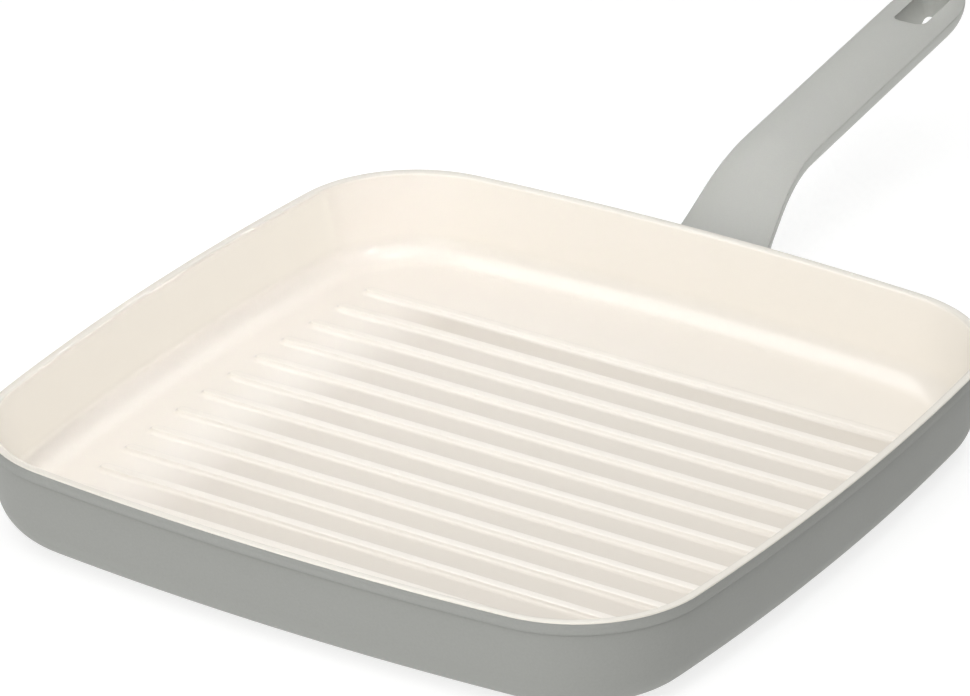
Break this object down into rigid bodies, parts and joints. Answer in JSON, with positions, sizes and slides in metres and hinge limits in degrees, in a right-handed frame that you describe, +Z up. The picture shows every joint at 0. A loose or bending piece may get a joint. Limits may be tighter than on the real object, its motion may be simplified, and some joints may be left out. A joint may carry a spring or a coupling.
{
  "type": "grill pan",
  "caption": "Square grill pan with bowed sides, rounded corners, raised searing ridges, a ceramic-lined inside, a coated outside and a long upswept handle with a hanging hole.",
  "frame": {"origin": "middle of the flat base, on the surface that the pan stands on", "axes": "+X from the middle of the pan along the handle, +Z up out of the cooking side, +Y along the ridges"},
  "size_m": [0.4612, 0.28, 0.067],
  "materials": {
    "cast_aluminium": "satin",
    "cream_ceramic": "gloss",
    "grey_enamel": "satin",
    "plate_steel": "satin",
    "handle_moulding": "matte",
    "screw_steel": "satin"
  },
  "bodies": {
    "root": {"pan_body": "cast_aluminium", "ceramic_lining": "cream_ceramic", "outer_enamel": "grey_enamel", "base_plate": "plate_steel", "handle": "handle_moulding", "handle_washer": "screw_steel", "spring_washer": "screw_steel", "handle_screw": "screw_steel"}
  },
  "joints": []
}
